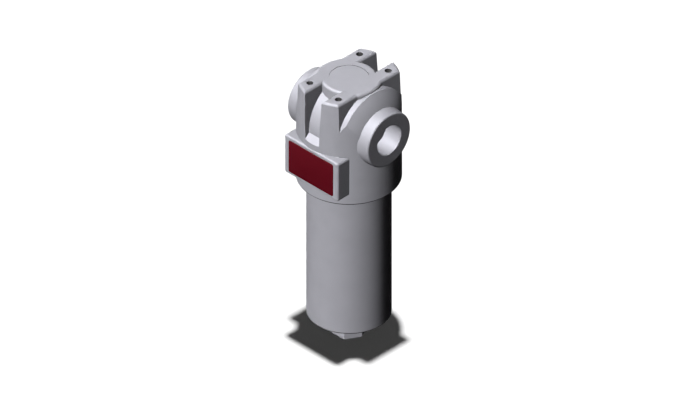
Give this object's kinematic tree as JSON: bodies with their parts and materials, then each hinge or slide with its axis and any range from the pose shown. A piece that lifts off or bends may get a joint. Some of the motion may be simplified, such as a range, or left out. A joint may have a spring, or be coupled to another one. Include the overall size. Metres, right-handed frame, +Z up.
{
  "type": "hydraulic inline filter",
  "caption": "High-pressure hydraulic inline filter: cast head with two opposed threaded line ports and a screwed bowl over a pleated element.",
  "frame": {"origin": "middle of the foot, the flat end of the hexagon under the bowl", "axes": "+Z up along the bowl axis, +X along the port axis towards the outlet, the name plate faces -Y"},
  "size_m": [0.113, 0.1068, 0.307],
  "materials": {
    "cast_grey": "fine-grained grey finish over a casting, machined at the ports and the top",
    "bowl_grey": "smooth grey finish over turned steel",
    "plate_red": "dark red anodised sheet",
    "seal_rubber": "smooth black moulded rubber",
    "backup_white": "plain off-white",
    "turned_steel": "turned",
    "pressed_steel": "zinc-plated sheet",
    "spring_steel": "oiled wire",
    "seat_brass": "turned",
    "filter_media": "off-white folded glass fibre between wire meshes"
  },
  "bodies": {
    "head": {"filter_head": "cast_grey", "name_plate": "plate_red", "element_spigot": "turned_steel", "spigot_o_ring": "seal_rubber", "element_o_ring": "seal_rubber", "element_top_cap": "pressed_steel", "element_bottom_cap": "pressed_steel", "pleat_pack": "filter_media", "core_tube": "pressed_steel", "outer_sleeve": "pressed_steel", "bypass_body": "turned_steel", "bypass_seat": "seat_brass", "bypass_o_ring": "seal_rubber", "bypass_spring": "spring_steel", "bypass_spring_plate": "turned_steel", "bypass_snap_ring": "spring_steel"},
    "seal_rings": {"bowl_o_ring": "seal_rubber", "bowl_backup_ring": "backup_white"},
    "bowl": {"filter_bowl": "bowl_grey"},
    "poppet": {"bypass_poppet": "turned_steel"}
  },
  "joints": [
    {"name": "bowl_drop", "type": "slide", "parent": "head", "child": "seal_rings", "axis": [0, 0, -1], "range_m": [0, 0.026]},
    {"name": "bowl_turn", "type": "hinge", "parent": "seal_rings", "child": "bowl", "pos_m": [0, 0, 0.2], "axis": [0, 0, -1], "range_deg": [0, 4680]},
    {"name": "bypass_lift", "type": "slide", "parent": "head", "child": "poppet", "axis": [0, 0, 1], "range_m": [0, 0.004], "stiffness_N_per_m": 3500, "springref_m": -0.003, "deforming": ["bypass_spring"]}
  ],
  "couplings": [
    {"joint": "bowl_drop", "follows": "bowl_turn", "m_per_rad": 0.00031831}
  ]
}
